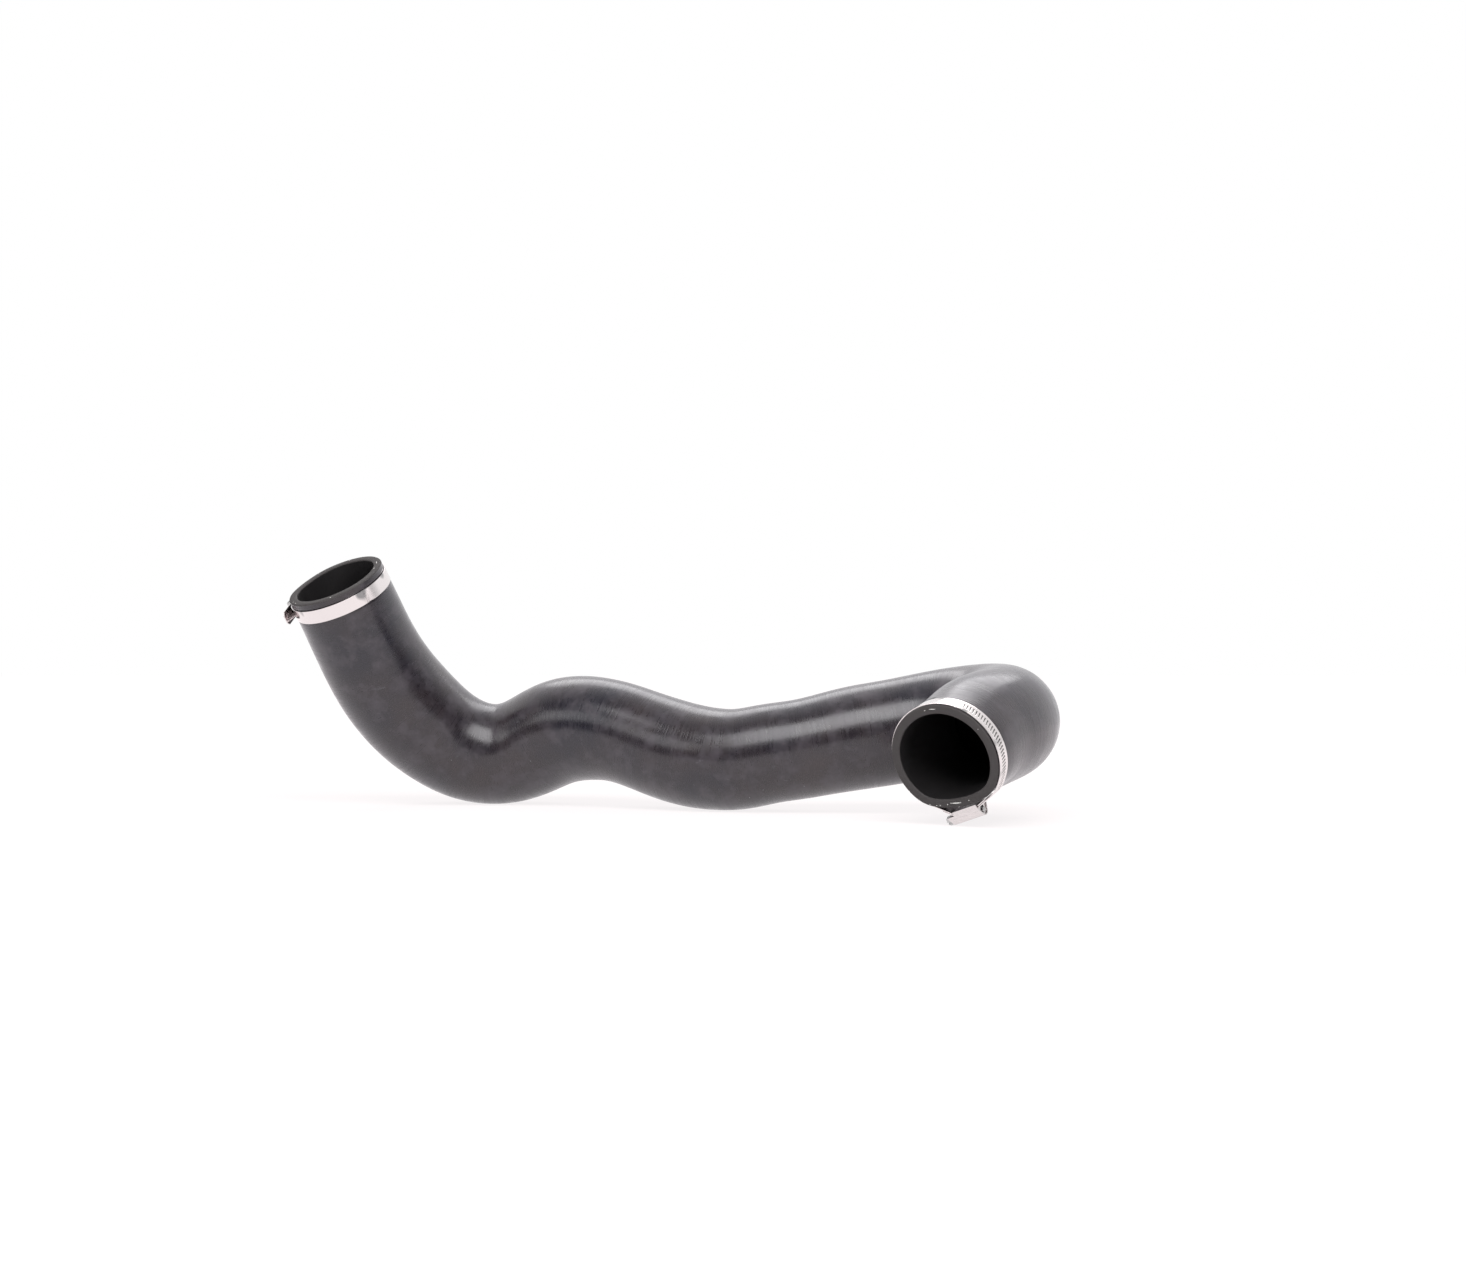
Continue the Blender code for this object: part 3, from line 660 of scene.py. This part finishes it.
def block(low, high, turned):
    """A box between two corners given in a turned frame."""
    bm = bmesh.new()
    middle = (Vector(low) + Vector(high)) / 2.0
    size = Vector(high) - Vector(low)
    stretch = Matrix.Translation(middle) @ Matrix.Diagonal((*size, 1.0))
    bmesh.ops.create_cube(bm, size=1.0, matrix=stretch)
    bmesh.ops.transform(bm, matrix=Matrix.Scale(MM, 4) @ turned, verts=bm.verts[:])
    return finished("tool", bm)


def pressed_housing(side):
    place = places[side]
    shift = CLAMPS[side]["housing_shift"]
    half = HOUSING_LENGTH / 2.0
    foot = place["foot"]
    tunnel_low = foot + SHEET
    tunnel_high = tunnel_low + 2.0 * BAND_THICK + 3.0 * GAP
    axis_x = tunnel_high + WORM_CREST_R
    inner_half = BAND_WIDTH / 2.0 + GAP
    outside = arch_outline(inner_half + SHEET, foot, tunnel_high, axis_x,
                           WORM_CREST_R + GAP + SHEET, SEAM_DEPTH)
    lip = arch_outline(inner_half + SHEET, foot, tunnel_high, axis_x, WORM_CREST_R + GAP + SHEET)
    hollow = arch_outline(inner_half, tunnel_low, tunnel_high, axis_x, WORM_CREST_R + GAP)
    opening = keyhole_outline(inner_half, tunnel_low, tunnel_high, axis_x, NECK_R + GAP)
    end = half - END_WALL
    recess = half - END_RECESS
    rings = (
        (opening, HAIR - half), (lip, -half), (outside, TURNED_IN - half),
        (outside, half - TURNED_IN), (lip, half), (hollow, half - HAIR),
        (hollow, recess), (opening, recess - HAIR), (opening, end),
        (hollow, end - HAIR), (hollow, HAIR - end), (opening, -end),
    )
    bm = bmesh.new()
    loops = [outline_ring(bm, outline, shift + y, place["frame"]) for outline, y in rings]
    bridge_in_order(bm, loops, True)
    bmesh.ops.recalc_face_normals(bm, faces=bm.faces[:])
    made = finished(side + "_clamp_housing", bm, 30.0)
    beside = inner_half + 2.0 * SHEET
    carved(made, block((foot - 1.0, shift - half - 1.0, -beside),
                       (tunnel_high - GAP, shift - half + HEAD_OVERHANG, beside), place["frame"]))
    made.data.shade_smooth()
    made.data.set_sharp_from_angle(angle=math.radians(30.0))
    rounded_edges(made, 0.18, 50.0)
    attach(made, "hose")
    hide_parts(side + "_housing")
    return made


housings = {side: pressed_housing(side) for side in places}
print("housings:", [len(made.data.polygons) for made in housings.values()], "faces")

# %% [markdown]
# ## The worm screws
# The screw has a slotted hexagon head, a collar, a neck in each end of the housing, and the
# worm between them. Turned parts are rings along an axis, and here the ring's radius also
# depends on the angle: that gives the six flats and the thread. The screw is the only piece
# that moves, so it rides on its own body and keeps the clearances of the checked solid.

# %% Give each section of the screw its radius
WORM_ROOT_R = 1.9
COLLAR_R = 2.5
COLLAR_THICK = 0.8
HEAD_ACROSS = 5.0
HEAD_HEIGHT = 2.8
HEAD_CHAMFER = 0.4
SLOT_WIDTH = 1.2
SLOT_DEPTH = 1.6
COLLAR_ROUND = 0.15
SCREW_SIDES = 48
RINGS_PER_TURN = 14


def hexagon(turn, shrink=0.0):
    sector = math.pi / 3.0
    flat = HEAD_ACROSS / 2.0 / math.cos((turn + sector / 2.0) % sector - sector / 2.0)
    return flat - shrink


def worm_radius(turn, height, low, high):
    phase = (height / MARK_PITCH - turn / (2.0 * math.pi)) % 1.0
    ridge = smooth_step(1.6 - 4.5 * abs(phase - 0.5))
    fade = smooth_step(min(height - low, high - height) / (MARK_PITCH / 2.0))
    return WORM_ROOT_R + (WORM_CREST_R - WORM_ROOT_R) * ridge * fade


def screw_sections():
    """Heights along the screw with the function that gives the radius there."""
    half = HOUSING_LENGTH / 2.0
    low = -half + END_WALL + GAP
    high = -low
    collar_low = half + GAP
    collar_high = collar_low + COLLAR_THICK
    head_high = collar_high + HEAD_HEIGHT
    rings = round((high - low) / MARK_PITCH * RINGS_PER_TURN)

    def plain(radius):
        return lambda turn: radius

    sections = [(-half - GAP, plain(NECK_R - 0.3)), (-half, plain(NECK_R)),
                (low - HAIR, plain(NECK_R))]
    for i in range(rings + 1):
        height = low + (high - low) * i / rings
        sections.append((height, lambda turn, height=height: worm_radius(turn, height, low, high)))
    sections += [(high + HAIR, plain(NECK_R)), (collar_low - HAIR, plain(NECK_R)),
                 (collar_low, plain(COLLAR_R - COLLAR_ROUND)),
                 (collar_low + COLLAR_ROUND, plain(COLLAR_R)),
                 (collar_high - COLLAR_ROUND, plain(COLLAR_R)),
                 (collar_high, plain(COLLAR_R - COLLAR_ROUND)),
                 (collar_high + HAIR, hexagon), (head_high - HEAD_CHAMFER, hexagon),
                 (head_high, lambda turn: hexagon(turn, HEAD_CHAMFER))]
    return sections, head_high


# %% Bridge the sections and cut the slot
def round_screw(side):
    place = places[side]
    clamp = CLAMPS[side]
    axis_x = place["foot"] + SHEET + 2.0 * BAND_THICK + 3.0 * GAP + WORM_CREST_R
    seat = (place["frame"] @ Matrix.Translation((axis_x, clamp["housing_shift"], 0.0))
            @ Matrix.Rotation(math.radians(90.0), 4, "X")
            @ Matrix.Rotation(math.radians(-clamp["screw_turn_deg"]), 4, "Z"))
    sections, head_high = screw_sections()
    bm = bmesh.new()
    rings = []
    for i, (height, radius) in enumerate(sections):
        made = bmesh.ops.create_circle(bm, cap_ends=i in (0, len(sections) - 1),
                                       segments=SCREW_SIDES, radius=1.0)
        for vert in made["verts"]:
            turn = math.atan2(vert.co.y, vert.co.x)
            vert.co = Vector((radius(turn) * math.cos(turn), radius(turn) * math.sin(turn), height))
        rings.append(list({edge for vert in made["verts"] for edge in vert.link_edges}))
    bridge_in_order(bm, rings, False)
    bmesh.ops.recalc_face_normals(bm, faces=bm.faces[:])
    bmesh.ops.transform(bm, matrix=Matrix.Scale(MM, 4) @ seat, verts=bm.verts[:])
    screw = finished(side + "_clamp_screw", bm, 30.0)

    carved(screw, block((-SLOT_WIDTH / 2.0, -2.0 * HEAD_ACROSS, head_high - SLOT_DEPTH),
                        (SLOT_WIDTH / 2.0, 2.0 * HEAD_ACROSS, head_high + SLOT_DEPTH), seat))
    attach(screw, side + "_screw")
    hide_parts(side + "_worm_screw")
    return screw


screws = {side: round_screw(side) for side in places}
print("screws:", [len(screw.data.polygons) for screw in screws.values()], "faces")

# %% [markdown]
# ## Helpers for the surfaces
# Each finish is a small network of nodes. Noise at several sizes drives colour, roughness and
# bump, because one flat value never looks like a used material. The helpers below add one
# node each and return its output, so a finish reads as a few lines.


# %% Add nodes by short names
def new_finish(name):
    made = bpy.data.materials.new(name)
    made.use_nodes = True
    return made, made.node_tree, made.node_tree.nodes["Principled BSDF"]


def stretched(tree, source, scale, turn_deg=0.0):
    node = tree.nodes.new("ShaderNodeMapping")
    node.inputs["Scale"].default_value = scale
    node.inputs["Rotation"].default_value = (0.0, 0.0, math.radians(turn_deg))
    tree.links.new(source, node.inputs["Vector"])
    return node.outputs["Vector"]


def noisy(tree, source, scale, detail=2.0, roughness=0.5):
    node = tree.nodes.new("ShaderNodeTexNoise")
    node.inputs["Scale"].default_value = scale
    node.inputs["Detail"].default_value = detail
    node.inputs["Roughness"].default_value = roughness
    tree.links.new(source, node.inputs["Vector"])
    return node.outputs["Fac"]


def ranged(tree, source, low, high, to_low, to_high):
    node = tree.nodes.new("ShaderNodeMapRange")
    values = {"From Min": low, "From Max": high, "To Min": to_low, "To Max": to_high}
    for key, value in values.items():
        node.inputs[key].default_value = value
    tree.links.new(source, node.inputs["Value"])
    return node.outputs["Result"]


def maths(tree, operation, first, second):
    node = tree.nodes.new("ShaderNodeMath")
    node.operation = operation
    for socket, value in zip(node.inputs, (first, second)):
        if isinstance(value, float):
            socket.default_value = value
        else:
            tree.links.new(value, socket)
    return node.outputs["Value"]


def blended(tree, factor, first, second):
    node = tree.nodes.new("ShaderNodeMix")
    node.data_type = "RGBA"
    tree.links.new(factor, node.inputs["Factor"])
    for key, value in (("A", first), ("B", second)):
        socket = [s for s in node.inputs if s.name == key and s.type == "RGBA"][0]
        if isinstance(value, tuple):
            socket.default_value = (*value, 1.0)
        else:
            tree.links.new(value, socket)
    return [s for s in node.outputs if s.type == "RGBA"][0]


def bumped(tree, shader, height, distance, strength):
    node = tree.nodes.new("ShaderNodeBump")
    node.inputs["Distance"].default_value = distance
    node.inputs["Strength"].default_value = strength
    tree.links.new(height, node.inputs["Height"])
    tree.links.new(node.outputs["Normal"], shader.inputs["Normal"])


def object_place(tree):
    return tree.nodes.new("ShaderNodeTexCoord").outputs["Object"]


def map_place(tree, name):
    node = tree.nodes.new("ShaderNodeUVMap")
    node.uv_map = name
    return node.outputs["UV"]


# %% [markdown]
# ## Rubber
# The outside is glossy black rubber, bluish in some places and brownish in others, with fine
# lines round it, left by the tape it was cured in. It carries smudges, faint scuffs and a few
# dust specks. The lines follow the hose, so they read its own map; the dust and the scuffs
# don't, so they read the object's place.

# %% Mix the outside rubber
BLUISH_BLACK = (0.013, 0.0115, 0.019)
BROWNISH_BLACK = (0.032, 0.022, 0.023)
SMUDGE_GREY = (0.066, 0.056, 0.066)
SCUFF_GREY = (0.12, 0.12, 0.13)
DUST_WHITE = (0.42, 0.42, 0.43)


def outside_rubber():
    made, tree, shader = new_finish("outside_rubber")
    at = object_place(tree)
    along_hose = map_place(tree, "hose_map")
    tape_lines = noisy(tree, stretched(tree, along_hose, (760.0, 22.0, 1.0), 7.0), 1.0, 1.0)
    tape_edges = noisy(tree, stretched(tree, along_hose, (240.0, 6.0, 1.0), 4.0), 1.0, 2.0)
    clouds = noisy(tree, at, 16.0, 4.0, 0.6)
    smudges = noisy(tree, at, 75.0, 3.0, 0.62)
    grain = noisy(tree, at, 1400.0, 2.0)
    scuffs = noisy(tree, stretched(tree, at, (90.0, 900.0, 260.0)), 1.0, 2.0)
    dust = tree.nodes.new("ShaderNodeTexVoronoi")
    dust.inputs["Scale"].default_value = 95.0
    tree.links.new(at, dust.inputs["Vector"])
    speck = maths(tree, "MULTIPLY", maths(tree, "LESS_THAN", dust.outputs["Distance"], 0.035),
                  maths(tree, "GREATER_THAN", noisy(tree, at, 31.0), 0.54))
    tint = blended(tree, ranged(tree, clouds, 0.35, 0.65, 0.0, 1.0), BLUISH_BLACK, BROWNISH_BLACK)
    smudged = blended(tree, ranged(tree, smudges, 0.48, 0.7, 0.0, 0.75), tint, SMUDGE_GREY)
    scuffed = blended(tree, ranged(tree, scuffs, 0.7, 0.8, 0.0, 0.4), smudged, SCUFF_GREY)
    dusty = blended(tree, maths(tree, "MULTIPLY", speck, 0.6), scuffed, DUST_WHITE)
    tree.links.new(dusty, shader.inputs["Base Color"])
    rough = maths(tree, "ADD", ranged(tree, smudges, 0.3, 0.7, 0.22, 0.38),
                  ranged(tree, tape_lines, 0.3, 0.7, -0.06, 0.07))
    tree.links.new(rough, shader.inputs["Roughness"])
    shader.inputs["Specular IOR Level"].default_value = 0.56
    shader.inputs["Coat Weight"].default_value = 0.5
    shader.inputs["Coat Roughness"].default_value = 0.2
    shader.inputs["Coat Tint"].default_value = (0.93, 0.9, 0.96, 1.0)
    lines = maths(tree, "ADD", tape_lines, maths(tree, "MULTIPLY", tape_edges, 0.9))
    height = maths(tree, "ADD", lines, maths(tree, "MULTIPLY", grain, 0.3))
    bumped(tree, shader, height, 0.00016, 0.55)
    return made


# %% Mix the bore and the cut ends
def bore_rubber():
    made, tree, shader = new_finish("bore_rubber")
    at = object_place(tree)
    cloudy = noisy(tree, at, 40.0, 3.0)
    tint = blended(tree, cloudy, (0.012, 0.011, 0.012), (0.02, 0.018, 0.019))
    tree.links.new(tint, shader.inputs["Base Color"])
    tree.links.new(ranged(tree, cloudy, 0.3, 0.7, 0.45, 0.6), shader.inputs["Roughness"])
    bumped(tree, shader, noisy(tree, at, 1200.0, 3.0), 0.0001, 0.4)
    return made


def cut_rubber():
    made, tree, shader = new_finish("cut_rubber")
    at = object_place(tree)
    knife = noisy(tree, at, 500.0, 4.0, 0.65)
    tint = blended(tree, knife, (0.04, 0.035, 0.036), (0.07, 0.062, 0.062))
    tree.links.new(tint, shader.inputs["Base Color"])
    tree.links.new(ranged(tree, knife, 0.3, 0.7, 0.6, 0.8), shader.inputs["Roughness"])
    bumped(tree, shader, knife, 0.0002, 0.5)
    return made


for surface in (outside_rubber(), bore_rubber(), cut_rubber()):
    rubber_hose.data.materials.append(surface)
print("rubber surfaces:", [m.name for m in rubber_hose.data.materials])


# %% Make the yarn pale and slightly furry
def pale_yarn():
    made, tree, shader = new_finish("pale_yarn")
    fibres = noisy(tree, object_place(tree), 3000.0, 2.0)
    tint = blended(tree, fibres, (0.62, 0.6, 0.58), (0.9, 0.89, 0.87))
    tree.links.new(tint, shader.inputs["Base Color"])
    shader.inputs["Roughness"].default_value = 0.8
    bumped(tree, shader, fibres, 0.0001, 0.5)
    return made


yarn_ends.data.materials.append(pale_yarn())

# %% [markdown]
# ## Steel
# The bands are stainless strip with a bright rolled finish, so fine streaks run along the
# strip. They are drawn on the strip's own map, which was made while it was still flat, and so
# they follow the bend. Dark patches in the strip's colour are painted reflections of dark
# surroundings, and the floors of the marks take a nearly black copy, painted shade in the
# recesses. The housings and screws are pressed and turned, and read the object's place instead.

# %% Mix the steels
def strip_steel_painted_reflection_and_shade(name, dark, light):
    made, tree, shader = new_finish(name)
    flat = map_place(tree, "strip_map")
    streaks = noisy(tree, stretched(tree, flat, (60.0, 5200.0, 1.0)), 1.0, 3.0)
    painted_reflection_patches = noisy(tree, stretched(tree, flat, (75.0, 60.0, 1.0), 20.0), 1.0, 1.0)
    # Painted reflection: where the patches are low, the strip's colour turns dark, as if the
    # polished steel mirrored dark surroundings. In the marks' copy, both colours are painted shade.
    tint = blended(tree, ranged(tree, painted_reflection_patches, 0.3, 0.4, 0.0, 1.0), dark, light)
    tree.links.new(tint, shader.inputs["Base Color"])
    shader.inputs["Metallic"].default_value = 1.0
    rough = maths(tree, "ADD", ranged(tree, streaks, 0.3, 0.7, 0.08, 0.16),
                  ranged(tree, painted_reflection_patches, 0.3, 0.7, -0.02, 0.04))
    tree.links.new(rough, shader.inputs["Roughness"])
    bumped(tree, shader, streaks, 0.00002, 0.35)
    return made


def worked_steel(name, low, high, rough_low, rough_high):
    made, tree, shader = new_finish(name)
    at = object_place(tree)
    marks = noisy(tree, stretched(tree, at, (300.0, 900.0, 900.0), 20.0), 1.0, 3.0)
    tint = blended(tree, marks, low, high)
    tree.links.new(tint, shader.inputs["Base Color"])
    shader.inputs["Metallic"].default_value = 1.0
    tree.links.new(ranged(tree, marks, 0.3, 0.7, rough_low, rough_high), shader.inputs["Roughness"])
    bumped(tree, shader, noisy(tree, at, 2200.0, 2.0), 0.00003, 0.4)
    return made


strip_finish_painted_reflections = strip_steel_painted_reflection_and_shade("strip_steel_painted_reflection_and_shade", (0.3, 0.295, 0.3), (0.82, 0.77, 0.77))
# Painted shade: the marks' finish colours the stamped recesses nearly black.
painted_shade_mark_finish = strip_steel_painted_reflection_and_shade("painted_shade_mark_steel", (0.05, 0.048, 0.048), (0.14, 0.135, 0.13))
housing_finish = worked_steel("pressed_steel", (0.62, 0.58, 0.58), (0.84, 0.8, 0.8), 0.12, 0.22)
screw_finish = worked_steel("turned_steel", (0.5, 0.5, 0.5), (0.62, 0.62, 0.62), 0.24, 0.36)
for side in places:
    bands[side].data.materials.append(strip_finish_painted_reflections)
    bands[side].data.materials.append(painted_shade_mark_finish)
    housings[side].data.materials.append(housing_finish)
    screws[side].data.materials.append(screw_finish)
print("steel surfaces on", len(bands) + len(housings) + len(screws), "pieces")

# %% [markdown]
# ## Floor, world and lamps
# The hose lies on white paper in a light tent. The floor takes the hose's soft shadow, and a
# glow that only seen rays find brings it up to white, so no extra light falls on the object.
# The world is white to the camera. In reflections it is white behind and nearly black towards
# the open front of the tent, which leaves the rubber its dark front. A wide lamp above the
# front puts the long highlights on the upper side, one behind lights the top edges, and a weak
# one at the left fills in. The glow is a little lower near the hose, so that its shadow shows.

# %% Tell the seen rays from those that only light the object
def seen_rays(tree):
    """1 for rays that go to the camera, or that metal and glass send on."""
    path_node = tree.nodes.new("ShaderNodeLightPath")
    seen = maths(tree, "MAXIMUM", path_node.outputs["Is Camera Ray"],
                 path_node.outputs["Is Glossy Ray"])
    return maths(tree, "MAXIMUM", seen, path_node.outputs["Is Transmission Ray"])


# %% Lay the floor
NEAR_GLOW = 0.86
FAR_GLOW = 1.0
NEAR_REACH = 0.35
FAR_REACH = 0.9

floor = bmesh.new()
bmesh.ops.create_grid(floor, x_segments=1, y_segments=1, size=60.0)
sweep = finished("floor", floor)
floor_finish, floor_tree, floor_shader = new_finish("white_paper")
seen = seen_rays(floor_tree)
paper = blended(floor_tree, seen, (0.85, 0.85, 0.85), (0.22, 0.2, 0.2))
floor_tree.links.new(paper, floor_shader.inputs["Base Color"])
floor_shader.inputs["Roughness"].default_value = 0.8
floor_shader.inputs["Specular IOR Level"].default_value = 0.0
floor_shader.inputs["Emission Color"].default_value = (1.0, 0.975, 0.98, 1.0)
from_middle = floor_tree.nodes.new("ShaderNodeVectorMath")
from_middle.operation = "LENGTH"
floor_tree.links.new(object_place(floor_tree), from_middle.inputs[0])
brightness = ranged(floor_tree, from_middle.outputs["Value"], NEAR_REACH, FAR_REACH,
                    NEAR_GLOW, FAR_GLOW)
glow = maths(floor_tree, "MULTIPLY", seen, brightness)
floor_tree.links.new(glow, floor_shader.inputs["Emission Strength"])
sweep.data.materials.append(floor_finish)

# %% Fill the world and hang the lamps
WORLD_LIGHT = 0.2
FRONT_GREY = 0.08
FRONT_END = -0.35
BACK_START = 0.3

world = bpy.data.worlds.new("tent")
bpy.context.scene.world = world
world.use_nodes = True
world_tree = world.node_tree
sky = world_tree.nodes["Background"]
sky.inputs["Color"].default_value = (1.0, 1.0, 1.0, 1.0)
towards = world_tree.nodes.new("ShaderNodeTexCoord").outputs["Generated"]
split = world_tree.nodes.new("ShaderNodeSeparateXYZ")
world_tree.links.new(towards, split.inputs["Vector"])
reflected = ranged(world_tree, split.outputs["Y"], FRONT_END, BACK_START, FRONT_GREY, 1.0)
path_rays = world_tree.nodes.new("ShaderNodeLightPath")
strength = maths(world_tree, "MULTIPLY", reflected, path_rays.outputs["Is Glossy Ray"])
strength = maths(world_tree, "ADD", strength, path_rays.outputs["Is Camera Ray"])
strength = maths(world_tree, "ADD", strength, path_rays.outputs["Is Transmission Ray"])
only_light = maths(world_tree, "SUBTRACT", 1.0, seen_rays(world_tree))
fill = maths(world_tree, "MULTIPLY", only_light, WORLD_LIGHT)
strength = maths(world_tree, "ADD", strength, fill)
world_tree.links.new(strength, sky.inputs["Strength"])


def wide_lamp(name, place, aim, width, height, power):
    data = bpy.data.lights.new(name, "AREA")
    data.shape = "RECTANGLE"
    data.size = width
    data.size_y = height
    data.energy = power
    lamp = bpy.data.objects.new(name, data)
    lamp.location = place
    lamp.rotation_euler = (Vector(aim) - Vector(place)).to_track_quat("-Z", "Y").to_euler()
    bpy.context.scene.collection.objects.link(lamp)


wide_lamp("overhead_lamp", (0.05, -1.0, 1.15), (0.0, 0.0, 0.05), 1.6, 0.9, 22.0)
wide_lamp("back_lamp", (0.1, 0.8, 1.0), (0.0, 0.0, 0.05), 1.4, 0.5, 5.0)
wide_lamp("left_lamp", (-1.4, -1.0, 0.9), (0.0, 0.0, 0.05), 0.8, 0.6, 3.0)
bpy.context.scene.view_settings.view_transform = "Standard"
